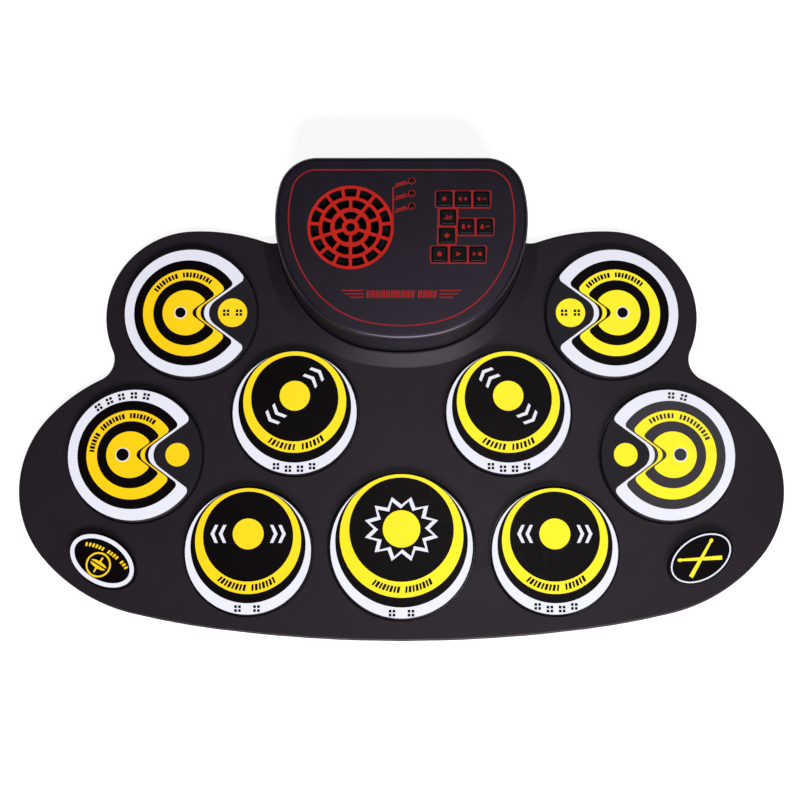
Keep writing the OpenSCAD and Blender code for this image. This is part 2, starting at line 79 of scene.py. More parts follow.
BASE_Z = node_box("mat_base_sheet")[1].z + 0.01  # underside of the mat's top sheet
MAT_Z = node_box("oval_badge")[0].z  # surface of the mat
MAT_LOW, MAT_HIGH = node_box("mat_top_sheet")
COLLAR_Z = MAT_HIGH.z  # top of the mat's collar
COLLAR_W = 10.0
WELL_GAP = 0.5  # between a pad and the mat
PAD_Z = node_box("snare_pad")[1].z  # top of the pads
FOAM_Z, SEAT_Z = [corner.z for corner in node_box("pad_cushions")]  # the foam rings' two faces
CASE_LOW, CASE_HIGH = node_box("case_top")
BOX_Z = CASE_HIGH.z  # top of the control box
SPLIT_Z = CASE_LOW.z  # where the box's two shells meet
PLATE_T = 2.4  # the box's top plate
WALL = 2.2  # the box's side walls
EDGE_R = 3.0  # rounded edge round the box's top

# Tangent arcs (radius, sweep in degrees) along the right half of an edge, from the middle
# of its front. A negative radius is a hollow bend.
MAT_ARCS = [(859.8, 7.3), (488.9, 6), (104.2, 35.7), (64.3, 83.4), (101.9, 21.6), (-13.6, 88),
            (53.6, 111.1), (118.6, 23.5), (-14, 16.6)]
BOX_ARCS = [(105.7, 11), (63.9, 39.3), (79.9, 53.8), (23.3, 75.9)]

ROUND_PADS = ["high_tom_pad", "low_tom_pad", "snare_pad", "floor_tom_pad", "bass_pad",
              "crash_pad_left", "crash_pad_right", "hihat_pad", "ride_pad"]
KEYS = ["demo_key", "volume_up_key", "volume_down_key", "rhythm_key", "style_key", "tempo_up_key",
        "tempo_down_key", "record_key", "play_key", "start_stop_key"]
OVAL_A, OVAL_B, OVAL_TILT = 21.2, 14.0, 31.5  # half axes, and tilt in degrees


# ------------------------------------------------------------------- outlines
# An outline is a list of (x, y, nx, ny): points anticlockwise with their inward normals.

def arc_edge(front_y, arcs, widen=1.0):
    """A closed outline from arcs along its right half, mirrored about x = 0 and widened in x."""
    step = 2.0  # degrees from point to point
    x, y, h = 0.0, front_y, 0.0
    half = [(x, y, h)]
    for radius, sweep in arcs:
        side, r = math.copysign(1, radius), abs(radius)
        n = max(2, math.ceil(sweep / step))
        for i in range(1, n + 1):
            k = h + side * math.radians(sweep) * i / n
            px = x + side * r * (math.sin(k) - math.sin(h))
            py = y - side * r * (math.cos(k) - math.cos(h))
            half.append((px, py, k))
        x, y, h = half[-1]
    right = [(px * widen, py, -math.sin(k), math.cos(k)) for px, py, k in half]
    return right + [(-px, py, -nx, ny) for px, py, nx, ny in reversed(right[1:])]


def ellipse(cx, cy, a, b, tilt=0.0, n=96):
    """An ellipse's outline, turned by tilt degrees."""
    c, s = math.cos(math.radians(tilt)), math.sin(math.radians(tilt))
    points = []
    for i in range(n):
        t = 2 * math.pi * i / n
        x, y = a * math.cos(t), b * math.sin(t)
        nx, ny = -math.cos(t) / a, -math.sin(t) / b
        size = math.hypot(nx, ny)
        nx, ny = nx / size, ny / size
        points.append((cx + x * c - y * s, cy + x * s + y * c, nx * c - ny * s, nx * s + ny * c))
    return points


def circle(cx, cy, r, n=96):
    return ellipse(cx, cy, r, r, 0, n)


def polygon(points):
    """An outline from plain corner points, with normals that make inset() keep parallel sides."""
    outline = []
    for i, (x, y) in enumerate(points):
        ax, ay = x - points[i - 1][0], y - points[i - 1][1]
        bx, by = points[(i + 1) % len(points)][0] - x, points[(i + 1) % len(points)][1] - y
        la, lb = math.hypot(ax, ay), math.hypot(bx, by)
        nx, ny = -ay / la - by / lb, ax / la + bx / lb
        size = nx * nx + ny * ny
        outline.append((x, y, 2 * nx / size, 2 * ny / size))
    return outline


def rounded(corners, r, n=5):
    """Corner points with each corner rounded to radius r."""
    points = []
    for i, (x, y) in enumerate(corners):
        p, q = Vector(corners[i - 1]), Vector(corners[(i + 1) % len(corners)])
        here = Vector((x, y))
        a, b = (p - here).normalized(), (q - here).normalized()
        half = a.angle(b) / 2
        reach = min(r / math.tan(half), 0.49 * (p - here).length, 0.49 * (q - here).length)
        size = reach * math.tan(half)
        middle = here + (a + b).normalized() * (size / math.sin(half))
        start, end = here + a * reach - middle, here + b * reach - middle
        turn = start.angle_signed(end)
        for k in range(n + 1):
            t = -turn * k / n
            points.append((middle.x + start.x * math.cos(t) - start.y * math.sin(t),
                           middle.y + start.x * math.sin(t) + start.y * math.cos(t)))
    return points


def inset(outline, d):
    """An outline's points, moved inwards by d."""
    return [(x + d * nx, y + d * ny) for x, y, nx, ny in outline]


def disc(cx, cy, r, n=96):
    """A circle as plain points."""
    return inset(circle(cx, cy, r, n), 0)


def square(c, half, r, n):
    """A square about c with corners rounded to radius r."""
    return rounded([(c.x - half, c.y - half), (c.x + half, c.y - half),
                    (c.x + half, c.y + half), (c.x - half, c.y + half)], r, n)


def turned(points, cx, cy, degrees, mirror=1):
    """Points about the origin, mirrored in x if mirror is -1, turned and moved to (cx, cy)."""
    c, s = math.cos(math.radians(degrees)), math.sin(math.radians(degrees))
    placed = [(cx + mirror * (x * c - y * s), cy + x * s + y * c) for x, y in points]
    return placed if mirror > 0 else placed[::-1]


# ---------------------------------------------------------------- mesh making

def ring(bm, points, z):
    """Vertices at the points, all at height z."""
    return [bm.verts.new((x * MM, y * MM, z * MM)) for x, y in points]


def bridge(bm, a, b, material=0):
    """Quads between two rings of equal length."""
    for i in range(len(a)):
        face = bm.faces.new((a[i], a[(i + 1) % len(a)], b[(i + 1) % len(b)], b[i]))
        face.material_index = material


def loft(bm, rings):
    """One skin through a row of rings."""
    for a, b in zip(rings, rings[1:]):
        bridge(bm, a, b)


def fill(bm, rings, material=0):
    """A flat face between an outer ring and the rings of its holes."""
    edges = []
    for verts in rings:
        for i, v in enumerate(verts):
            pair = (v, verts[(i + 1) % len(verts)])
            edges.append(bm.edges.get(pair) or bm.edges.new(pair))
    made = bmesh.ops.triangle_fill(bm, use_beauty=True, use_dissolve=False, edges=edges)
    for item in made["geom"]:
        if isinstance(item, bmesh.types.BMFace):
            item.material_index = material


def inlay(bm, outer, z0, z1, material=0, holes=()):
    """A thin flat layer with upright sides."""
    loops = [outer, *holes]
    low = [ring(bm, p, z0) for p in loops]
    high = [ring(bm, p, z1) for p in loops]
    for a, b in zip(low, high):
        bridge(bm, a, b, material)
    fill(bm, low, material)
    fill(bm, high, material)


def lathe(bm, cx, cy, profile):
    """A solid of revolution about a vertical axis, through (radius, z) pairs from axis to axis."""
    n = 128
    rings = [ring(bm, disc(cx, cy, r, n), z) for r, z in profile[1:-1]]
    loft(bm, rings)
    for verts, (_, z) in ((rings[0], profile[0]), (rings[-1], profile[-1])):
        tip = bm.verts.new((cx * MM, cy * MM, z * MM))
        for i, v in enumerate(verts):
            bm.faces.new((v, verts[(i + 1) % n], tip))


def piece(name, bm, materials, body, replaces=(), smooth=32):
    """Makes an object from bm that rides on a body and stands for the CAD nodes in replaces. Edges
    sharper than smooth degrees stay sharp."""
    bmesh.ops.recalc_face_normals(bm, faces=bm.faces[:])
    mesh = bpy.data.meshes.new(name)
    bm.to_mesh(mesh)
    bm.free()
    for m in materials:
        mesh.materials.append(m)
    mesh.shade_smooth()
    mesh.set_sharp_from_angle(angle=math.radians(smooth))
    obj = bpy.data.objects.new(name, mesh)
    COLLECTION.objects.link(obj)
    even = obj.modifiers.new("even_normals", "WEIGHTED_NORMAL")
    even.keep_sharp = True
    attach(obj, body)
    if replaces:
        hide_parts(*replaces)
    return obj


def shape(obj, tool_bm, operation):
    """Cuts obj with a closed mesh, and keeps the result as plain geometry."""
    bmesh.ops.recalc_face_normals(tool_bm, faces=tool_bm.faces[:])
    mesh = bpy.data.meshes.new("tool")
    tool_bm.to_mesh(mesh)
    tool_bm.free()
    tool = bpy.data.objects.new("tool", mesh)
    COLLECTION.objects.link(tool)
    step = obj.modifiers.new("shape", "BOOLEAN")
    step.operation = operation
    step.solver = "EXACT"
    step.object = tool
    even = obj.modifiers["even_normals"]
    even.show_viewport = False
    bpy.context.view_layer.update()
    done = bpy.data.meshes.new_from_object(obj.evaluated_get(bpy.context.evaluated_depsgraph_get()))
    obj.modifiers.remove(step)
    even.show_viewport = True
    obj.data = done
    bpy.data.objects.remove(tool)


def add_block(bm, low, high):
    """A box between two corners, in millimetres."""
    corners = [(low[0], low[1]), (high[0], low[1]), (high[0], high[1]), (low[0], high[1])]
    inlay(bm, corners, low[2], high[2])


def add_bore(bm, x, z, r, y0, y1):
    """A round rod along y, in millimetres."""
    n = 48
    angles = [2 * math.pi * i / n for i in range(n)]
    places = [(x + r * math.cos(t), z + r * math.sin(t)) for t in angles]
    a = [bm.verts.new((px * MM, y0 * MM, pz * MM)) for px, pz in places]
    b = [bm.verts.new((px * MM, y1 * MM, pz * MM)) for px, pz in places]
    bridge(bm, a, b)
    bm.faces.new(a)
    bm.faces.new(b)


def quarter(r, steps=5):
    """(inset, drop) pairs of a rounded edge of radius r, from the side to the top."""
    return [(r * (1 - math.cos(t)), r * (1 - math.sin(t)))
            for t in (math.pi / 2 * i / steps for i in range(steps + 1))]


# ------------------------------------------------------------------ materials

def srgb(r, g, b):
    """Linear colour from 0-255 display values."""
    def one(v):
        v /= 255
        return v / 12.92 if v <= 0.04045 else ((v + 0.055) / 1.055) ** 2.4
    return (one(r), one(g), one(b), 1)


def finish(name, colour, rough, grain=0.4, bump=0.02, mottle=0.1, patch=25.0, metallic=0.0, specular=0.5,
           tint=(1, 1, 1), coat=0.0, lit_colour=None, along=None):
    """A procedural surface: colour mottled over patches of `patch` mm, and grain bumps `grain` mm apart
    and `bump` mm deep. tint colours its reflections. With a second colour and along = (start x, end x),
    the colour drifts to that second colour along x: a painted light gradient for light that falls more
    strongly at one end."""
    m = bpy.data.materials.new(name)
    m.use_nodes = True
    nodes, links = m.node_tree.nodes, m.node_tree.links
    bsdf = nodes["Principled BSDF"]
    place = nodes.new("ShaderNodeTexCoord")

    def noise(size_mm, detail, rough_amount=0.5):
        n = nodes.new("ShaderNodeTexNoise")
        n.inputs["Scale"].default_value = 1 / (size_mm * MM)
        n.inputs["Detail"].default_value = detail
        n.inputs["Roughness"].default_value = rough_amount
        links.new(place.outputs["Object"], n.inputs["Vector"])
        return n

    def spread(source, low, high):
        r = nodes.new("ShaderNodeMapRange")
        r.inputs["From Min"].default_value = 0.3
        r.inputs["From Max"].default_value = 0.7
        r.inputs["To Min"].default_value = low
        r.inputs["To Max"].default_value = high
        links.new(source, r.inputs["Value"])
        return r.outputs["Result"]

    base = nodes.new("ShaderNodeMix")
    base.data_type = "RGBA"
    base.inputs["A"].default_value = colour
    base.inputs["B"].default_value = lit_colour or colour
    base.inputs["Factor"].default_value = 0
    # Painted light: the colour shifts towards the second, lighter colour along x, where the light falls
    # stronger
    if along:
        split = nodes.new("ShaderNodeSeparateXYZ")
        links.new(place.outputs["Object"], split.inputs["Vector"])
        painted_light_drift = nodes.new("ShaderNodeMapRange")
        painted_light_drift.inputs["From Min"].default_value = along[0] * MM
        painted_light_drift.inputs["From Max"].default_value = along[1] * MM
        links.new(split.outputs["X"], painted_light_drift.inputs["Value"])
        links.new(painted_light_drift.outputs["Result"], base.inputs["Factor"])
    shade = nodes.new("ShaderNodeMix")
    shade.data_type = "RGBA"
    shade.blend_type = "MULTIPLY"
    shade.inputs["Factor"].default_value = 1
    links.new(base.outputs["Result"], shade.inputs["A"])
    links.new(spread(noise(patch, 4).outputs["Fac"], 1 - mottle, 1 + mottle), shade.inputs["B"])
    links.new(shade.outputs["Result"], bsdf.inputs["Base Color"])
    wear = noise(patch / 4, 3).outputs["Fac"]
    links.new(spread(wear, rough - 0.03, rough + 0.03), bsdf.inputs["Roughness"])
    grains = nodes.new("ShaderNodeBump")
    grains.inputs["Strength"].default_value = 1
    grains.inputs["Distance"].default_value = bump * MM
    links.new(noise(grain, 5, 0.6).outputs["Fac"], grains.inputs["Height"])
    links.new(grains.outputs["Normal"], bsdf.inputs["Normal"])
    bsdf.inputs["Metallic"].default_value = metallic
    bsdf.inputs["Specular IOR Level"].default_value = specular
    bsdf.inputs["Specular Tint"].default_value = (*tint, 1)
    bsdf.inputs["Coat Weight"].default_value = coat
    bsdf.inputs["Coat Roughness"].default_value = 0.15
    return m


# After a finish's colour: roughness, grain, bump, mottle, patch
SILICONE = finish("mat_silicone", srgb(28, 21, 29), 0.43, 0.5, 0.02, 0.12, 60, specular=0.26,
                  tint=(1, 0.92, 1))
PAD_BODY = finish("pad_silicone", srgb(26, 22, 29), 0.46, 0.5, 0.02, 0.1, 40, specular=0.2)
INK_BLACK = finish("ink_black", srgb(7, 3, 5), 0.36, 0.35, 0.006, 0.2, 12, specular=0.075)
INK_CHARCOAL = finish("ink_charcoal", srgb(58, 56, 60), 0.5, 0.35, 0.008, 0.05, 12, specular=0.06)
INK_WHITE = finish("ink_white", srgb(231, 231, 244), 0.55, 0.35, 0.008, 0.012, 12, specular=0.1)
# Painted light: the yellow ink turns from orange-yellow on the left to a lighter lemon on the right, where
# the light falls stronger
INK_YELLOW = finish("ink_yellow", srgb(255, 208, 22), 0.5, 0.35, 0.008, 0.02, 12, specular=0.05,
                    lit_colour=srgb(255, 238, 50), along=(-150, 20))
INK_RED = finish("ink_red", srgb(188, 34, 25), 0.45, 0.35, 0.008, 0.06, 12, specular=0.08)
INK_DARK_RED = finish("ink_dark_red", srgb(158, 34, 34), 0.45, 0.35, 0.008, 0.06, 12, specular=0.08)
ABS = finish("case_abs", srgb(17, 13, 22), 0.36, 0.55, 0.03, 0.06, 50, specular=0.47,
             tint=(0.93, 0.78, 1))
KEY_ABS = finish("key_abs", srgb(11, 9, 14), 0.45, 0.6, 0.003, 0.08, 15, specular=0.15)
LENS = finish("lamp_lens", srgb(26, 6, 8), 0.35, 0.6, 0.003, 0.05, 5, specular=0.15)
FOAM = finish("foam", srgb(70, 70, 72), 0.9, 0.8, 0.15, 0.15, 6)
FILM = finish("flex_film", srgb(30, 26, 23), 0.3, 1.0, 0.01, 0.1, 8, coat=0.2)
SENSOR = finish("sensor_brass", srgb(205, 170, 90), 0.3, 0.3, 0.01, 0.08, 6, metallic=1)
RUBBER = finish("black_rubber", srgb(14, 14, 15), 0.7, 0.6, 0.03, 0.15, 12, specular=0.15)
KEYPAD = finish("keypad_rubber", srgb(190, 190, 196), 0.6, 0.5, 0.02, 0.04, 12)
BOARD = finish("circuit_board", srgb(18, 84, 46), 0.35, 1.2, 0.02, 0.15, 5, coat=0.3)
STEEL = finish("steel", srgb(178, 180, 184), 0.3, 0.25, 0.008, 0.06, 10, metallic=1)
PAINTED = finish("painted_steel", srgb(9, 9, 10), 0.5, 0.4, 0.01, 0.1, 10, specular=0.08)
FERRITE = finish("ferrite", srgb(58, 58, 62), 0.65, 0.4, 0.04, 0.15, 6)
PAPER = finish("cone_paper", srgb(8, 7, 9), 0.75, 0.5, 0.06, 0.2, 5, specular=0.08)
BLACK_PART = finish("black_component", srgb(24, 24, 27), 0.4, 0.5, 0.015, 0.1, 8)
BATTERY = finish("battery_wrap", srgb(40, 92, 160), 0.3, 1.5, 0.02, 0.06, 20, coat=0.4)
NYLON = finish("white_nylon", srgb(225, 224, 214), 0.45, 0.5, 0.01, 0.04, 10)
WIRE = finish("red_wire", srgb(170, 24, 22), 0.35, 0.5, 0.01, 0.06, 6)
FLOOR = finish("floor", (0.5, 0.5, 0.5, 1), 0.9, 3, 0.01, 0.004, 300, specular=0.0)

CAD_FINISH = {
    "silicone_mat": SILICONE, "pad_silicone": PAD_BODY, "badge_silicone": PAD_BODY, "foam": FOAM,
    "flex_film": FILM, "sensor_disc": SENSOR, "case_plastic": ABS, "key_plastic": KEY_ABS,
    "keypad_rubber": KEYPAD, "circuit_board": BOARD, "steel_hardware": STEEL, "led_lens": LENS,
    "speaker_steel": STEEL, "painted_steel": PAINTED, "magnet_ferrite": FERRITE, "speaker_paper": PAPER,
    "surround_rubber": RUBBER, "black_component": BLACK_PART, "battery_wrap": BATTERY,
    "white_nylon": NYLON, "red_wire": WIRE,
}


def dress_cad_nodes():
    """Every CAD node gets its slot's procedural material."""
    for part in frame["record"]["subparts"]:
        mesh = frame["nodes"][part["node"]].data
        mesh.materials.clear()
        mesh.materials.append(CAD_FINISH[part["material_slot"]])


# ------------------------------------------------------------------ the mat

def mat_edge():
    """The mat's outline, widened to the CAD mat's width."""
    drawn_half_width = 230.0
    return arc_edge(MAT_LOW.y, MAT_ARCS, MAT_HIGH.x / drawn_half_width)


def box_edge():
    """The control box's outline, a rounded D."""
    return arc_edge(CASE_LOW.y, BOX_ARCS)


def build_mat():
    """The top sheet: rounded rim, and a well with a soft lip for each pad."""
    rim_r, lip_r, chamfer, lip_steps = 1.3, 0.5, 0.15, 3
    bm = bmesh.new()
    edge = mat_edge()
    rings = [ring(bm, inset(edge, chamfer), BASE_Z), ring(bm, inset(edge, 0), BASE_Z + chamfer)]
    rings += [ring(bm, inset(edge, d), MAT_Z - drop) for d, drop in quarter(rim_r)]
    loft(bm, rings)
    wells = []
    for node in ROUND_PADS:
        c = node_centre(node)
        wells.append(circle(c.x, c.y, pad_radius(node) + WELL_GAP))
    oval = node_centre("closed_hihat_pad")
    wells.append(ellipse(oval.x, oval.y, OVAL_A + WELL_GAP, OVAL_B + WELL_GAP, -OVAL_TILT))
    angles = [math.pi / 2 * i / lip_steps for i in range(lip_steps + 1)]
    lip = [(lip_r * math.sin(t), lip_r * (1 - math.cos(t))) for t in angles]
    tops, feet = [], []
    for well in wells:
        sides = [ring(bm, inset(well, d - lip_r), MAT_Z - drop) for d, drop in lip]
        sides.append(ring(bm, inset(well, 0), BASE_Z))
        loft(bm, sides)
        tops.append(sides[0])
        feet.append(sides[-1])
    fill(bm, [rings[-1]] + tops)
    fill(bm, [rings[0]] + feet)
    piece("mat_skin", bm, [SILICONE], "root", ["mat_top_sheet"])


def build_collar():
    """An even ramp that rises to the box, cut off at the mat's rear edge."""
    sink, drop, height, lip = 0.3, 0.02, COLLAR_Z - MAT_Z, 1.1
    reach = COLLAR_W - lip
    # The section as (distance from the box's edge, z): the ramp in shares of its reach and height, a
    # rounded shoulder beside the box, and the hidden underside
    rise = [(0, 0), (0.03, 0.01), (0.07, 0.045), (0.12, 0.1), (0.5, 0.49), (0.88, 0.9), (0.93, 0.955),
            (0.97, 0.985)]
    profile = [(-COLLAR_W + reach * t, MAT_Z - drop + height * h) for t, h in rise]
    profile += [(-lip, COLLAR_Z - drop), (-0.8, COLLAR_Z - drop), (-0.55, COLLAR_Z - 0.15),
                (-0.45, COLLAR_Z - 0.4), (-0.45, MAT_Z - sink), (-COLLAR_W, MAT_Z - sink)]
    back_y = node_box("mat_base_sheet")[1].y
    edge = [p for p in box_edge() if p[1] < back_y + 8]
    edge.sort(key=lambda p: math.atan2(p[1] - back_y - 10, p[0]))  # from side to side, round the front
    bm = bmesh.new()
    sections = [[bm.verts.new(((x + d * nx) * MM, (y + d * ny) * MM, z * MM)) for d, z in profile]
                for x, y, nx, ny in edge]
    loft(bm, sections)
    bm.faces.new(sections[0])
    bm.faces.new(sections[-1])
    collar = piece("mat_collar", bm, [SILICONE], "root", smooth=50)
    limit = bmesh.new()
    inlay(limit, inset(mat_edge(), 0.35), 0, COLLAR_Z + 5)
    shape(collar, limit, "INTERSECT")


# ------------------------------------------------------------------ the pads

INKS = [INK_WHITE, INK_BLACK, INK_YELLOW]
WHITE, BLACK, YELLOW = 0, 1, 2
LAYER = 0.05  # thickness of an ink layer


def layer_z(k):
    """Top of the k-th ink layer on a pad."""
    return PAD_Z + LAYER * k


def build_cushion(node, outer, inner):
    """The foam ring under a pad."""
    gap = 0.02
    bm = bmesh.new()
    inlay(bm, outer, FOAM_Z, SEAT_Z - gap, holes=[inner])
    foam = piece(node + "_cushion", bm, [FOAM], "root", ["pad_cushions"])
    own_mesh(foam)


def build_pad_body(node, r, c):
    """A disc on its foam ring, with a skirt around it and a boss in the middle over the sensor."""
    edge_r, chamfer, skirt_t, boss_r = 1.0, 0.3, 2.5, 10.0
    low = node_box(node)[0].z
    boss = low + 0.3
    profile = [(0, boss), (boss_r, boss), (boss_r, SEAT_Z), (r - skirt_t, SEAT_Z), (r - skirt_t, low),
               (r - chamfer, low), (r, low + chamfer)]
    profile += [(r - d, PAD_Z - drop) for d, drop in quarter(edge_r, 6)] + [(0, PAD_Z)]
    bm = bmesh.new()
    lathe(bm, c.x, c.y, profile)
    piece(node + "_body", bm, [PAD_BODY], node, [node])
    build_cushion(node, disc(c.x, c.y, r - skirt_t - 1), disc(c.x, c.y, boss_r + 2))


def stroke_bar(x, y, w, h, slant=0.0):
    """A bar centred on (x, y), its top pushed sideways by slant."""
    return [(x - w / 2 - slant, y - h / 2), (x + w / 2 - slant, y - h / 2),
            (x + w / 2 + slant, y + h / 2), (x - w / 2 + slant, y + h / 2)]


def hatch(bm, cx, cy, r, height, groups, start, end, k, slant=0.3):
    """Short plain black bars along an arc, in groups, every other one wider. They run clockwise over
    the top of a circle if start > end, and anticlockwise under its bottom if start < end (degrees)."""
    space, corner_r = 1.2, 0.25  # space is between groups, as a share of a bar's place
    slots = sum(groups) + space * (len(groups) - 1)
    foot = -90 if start > end else 90
    at = 0.5
    for group in groups:
        for i in range(group):
            angle = start + (end - start) * at / slots
            t = math.radians(angle)
            bar = rounded(stroke_bar(0, 0, 1.2 + 0.4 * (i % 2), height, slant), corner_r, 2)
            placed = turned(bar, cx + r * math.cos(t), cy + r * math.sin(t), angle + foot)
            inlay(bm, placed, PAD_Z, layer_z(k), BLACK)
            at += 1
        at += space


def glyph(bm, x, y, degrees, k):
    """Four small squares, two by two."""
    size, corner_r = 3.9, 0.2
    side, space = size * 0.41, size * 0.295
    for dx in (-space, space):
        for dy in (-space, space):
            dot = rounded(stroke_bar(dx, dy, side, side), corner_r, 2)
            inlay(bm, turned(dot, x, y, degrees), PAD_Z, layer_z(k), BLACK)


def chevron(tip):
    """An arrow head that points to +x."""
    back, half, stroke = 2.6, 5.35, 1.9
    return [(tip, 0), (tip - back, half), (tip - back - stroke, half), (tip - stroke * 1.15, 0),
            (tip - back - stroke, -half), (tip - back, -half)][::-1]


def star(outer, inner, points, turn, wide=1.0, tall=1.0):
    """A star's corners, the first at turn degrees, stretched by wide and tall."""
    corners = []
    for i in range(2 * points):
        t = math.radians(turn + 180 * i / points)
        r = inner if i % 2 else outer
        corners.append((r * math.cos(t) * wide, r * math.sin(t) * tall))
    return corners


# Printed circles of a drum pad as (radius, how far the centre is behind the pad's centre):
# white, black, yellow, black, yellow dot. TIPS are the arrow heads' distances from the dot.
TOM_CIRCLES = [(37.3, -0.4), (34.0, 3.2), (31.05, 6.2), (26.3, 8.3), (9.15, 9.9)]
SNARE_CIRCLES = [(37.4, -0.3), (34.2, 3.1), (31.5, 5.8), (26.8, 8.4), (9.2, 9.9)]
BASS_CIRCLES = [(42.3, -0.4), (39.4, 3.1), (36.8, 6.2), (31.1, 9.9), (11.15, 10.2)]
TOM_TIPS = (16.3, 22.0)
SNARE_TIPS = (17.5, 22.4)


def build_drum_pad(node, circles, tips, turn, label, glyphs):
    """Nested circles that touch at the rear, a dot, and arrows or a star around it. label is the
    groups of the plain bars in the yellow ring, and the angles of their two ends."""
    c = node_centre(node)
    r = pad_radius(node)
    build_pad_body(node, r, c)
    bm = bmesh.new()
    inks = (WHITE, BLACK, YELLOW, BLACK, YELLOW)
    for k, ((circle_r, back), ink) in enumerate(zip(circles, inks), 1):
        inlay(bm, disc(c.x, c.y + back, circle_r, 128), PAD_Z - LAYER, layer_z(k), ink)
    dot_y = c.y + circles[-1][1]
    for side in (0, 180):
        for tip in tips:
            inlay(bm, turned(chevron(tip), c.x, dot_y, turn + side), PAD_Z, layer_z(5), WHITE)
    if not tips:
        points, wide, tall = 12, 1.03, 0.9
        outer = turned(star(21.9, 16.1, points, 15, wide, tall), c.x, dot_y, 0)
        hole = turned(star(18.9, 13.5, points, 17, wide, tall), c.x, dot_y, 0)
        inlay(bm, outer, PAD_Z, layer_z(5), WHITE, [hole])
    (ring_r, ring_back), (hole_r, hole_back) = circles[2], circles[3]
    label_r = (ring_r + hole_r - hole_back + ring_back) / 2
    label_height = 3.8
    hatch(bm, c.x, c.y + ring_back, label_r, label_height, *label, 4)
    glyph_step = 11.2 if glyphs == 2 else 7.2
    glyph_r = r - 3.5
    for i in range(glyphs):
        x = c.x + (i - (glyphs - 1) / 2) * glyph_step
        y = c.y - math.sqrt(glyph_r ** 2 - (x - c.x) ** 2)
        glyph(bm, x, y, 0, 2)
    piece(node + "_print", bm, INKS, node, smooth=20)


def notched_disc(r, shift, apex, nose_r, tip_r):
    """A disc about (shift, 0) with a round-nosed V cut that opens to +x. apex is where the flanks'
    lines meet, nose_r rounds the V's bottom and tip_r the two tips."""
    a = math.radians(37.0)  # a flank's angle from the x axis
    corner_steps, rim_steps = 10, 72
    ux, uy, nx, ny = math.cos(a), math.sin(a), -math.sin(a), math.cos(a)
    px, py = apex + tip_r * nx - shift, tip_r * ny
    b, c = px * ux + py * uy, px * px + py * py - (r - tip_r) ** 2
    t = -b + math.sqrt(b * b - c)
    fx, fy = px + t * ux, py + t * uy
    reach = math.atan2(fy, fx)
    upper = []
    nose_x = apex + nose_r / math.sin(a)
    for i in range(corner_steps + 1):
        k = math.pi - (math.pi / 2 - a) * i / corner_steps
        upper.append((nose_x + nose_r * math.cos(k), nose_r * math.sin(k)))
    for i in range(corner_steps + 1):
        k = a - math.pi / 2 + (reach - a + math.pi / 2) * i / corner_steps
        upper.append((shift + fx + tip_r * math.cos(k), fy + tip_r * math.sin(k)))
    for i in range(1, rim_steps + 1):
        k = reach + (math.pi - reach) * i / rim_steps
        upper.append((shift + r * math.cos(k), r * math.sin(k)))
    return upper + [(x, -y) for x, y in reversed(upper[1:-1])]


def build_cymbal_pad(node, side, dot_r, eye, label, glyph_angles, dark=None):
    """C-shaped rings that open towards the middle of the mat, a dot in the gap and an eye.
    side is 1 when the gap opens to +x, and -1 when it opens to -x. eye is how far the eye is from
    the pad's centre and its two radii. label is the groups of its bars and their two ends. dark is
    an ink to use instead of black."""
    c = node_centre(node)
    r = pad_radius(node)
    build_pad_body(node, r, c)
    bm = bmesh.new()

    def layer(points, k, ink):
        inlay(bm, turned(points, c.x, c.y, 0, side), PAD_Z - LAYER, layer_z(k), ink)

    # From the rim inwards: radius, shift, apex, nose radius, tip radius, ink
    rings = [(r - 0.95, -0.5, 4.9, 9.5, 3.2, WHITE), (32.8, -1.6, 2.75, 8.1, 2.6, BLACK),
             (27.0, -2.0, 1.6, 6.65, 2.4, YELLOW), (20.3, -2.4, 0.1, 5.0, 1.8, BLACK),
             (14.1, -3.0, -1.1, 3.3, 1.2, YELLOW)]
    for k, (*sizes, ink) in enumerate(rings, 1):
        layer(notched_disc(*sizes), k, ink)
    eye_x, eye_outer, eye_inner = eye
    dot_x = 25.5
    layer(disc(-eye_x, 0, eye_outer), 6, WHITE)
    layer(disc(-eye_x, 0, eye_inner), 7, BLACK)
    layer(disc(dot_x, 0, dot_r), 1, YELLOW)
    label_x, label_r, label_height = c.x - 2.2 * side, 23.7, 3.1
    hatch(bm, label_x, c.y, label_r, label_height, *label, 4, 0.0)
    glyph_x, glyph_r, glyph_step = c.x - 0.9 * side, 36.1, 7.8
    for angle in glyph_angles:
        t = math.radians(angle)
        glyph(bm, glyph_x + glyph_r * math.cos(t), c.y + glyph_r * math.sin(t), angle - 90, 2)
    if not glyph_angles:
        for dx in (-glyph_step / 2, glyph_step / 2):
            glyph(bm, c.x + dot_x * side + dx, c.y, 0, 2)
    inks = [INK_WHITE, dark or INK_BLACK, INK_YELLOW]
    piece(node + "_print", bm, inks, node, smooth=20)


def oval_body(name, node, body, low):
    """A tilted oval puck from low up to the pads' height. Returns its centre, tilt and outline."""
    c = node_centre(node)
    tilt = -OVAL_TILT if c.x < 0 else OVAL_TILT
    edge = ellipse(c.x, c.y, OVAL_A, OVAL_B, tilt)
    bm = bmesh.new()
    rings = [ring(bm, inset(edge, 0), low)]
    rings += [ring(bm, inset(edge, d), PAD_Z - drop) for d, drop in quarter(1.0)]
    loft(bm, rings)
    fill(bm, [rings[0]])
    fill(bm, [rings[-1]])
    piece(name, bm, [PAD_BODY], body, [node])
    return c, tilt, edge


